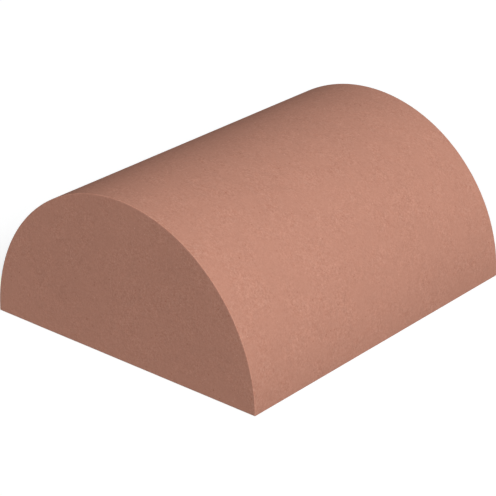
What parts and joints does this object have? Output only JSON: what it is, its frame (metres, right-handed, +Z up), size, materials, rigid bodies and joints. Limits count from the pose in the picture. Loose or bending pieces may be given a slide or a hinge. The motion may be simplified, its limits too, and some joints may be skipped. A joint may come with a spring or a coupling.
{
  "type": "ridge tile",
  "caption": "Half-round clay ridge tile, hollow below, closed at one end by a flat block end and open at the other, where the next tile along a roof's ridge butts on.",
  "frame": {"origin": "centre of the bed face, the plane of the two long feet and of the block end's lower edge, midway along the tile's length", "axes": "+Z up, out of the crown of the half round; Y along the ridge, with the block end at -Y and the open mouth at +Y; X across the tile"},
  "size_m": [0.258, 0.3, 0.129],
  "materials": {
    "fired_clay": "matt, unglazed, fine sanded grain"
  },
  "bodies": {
    "root": {"ridge_tile": "fired_clay"}
  },
  "joints": []
}
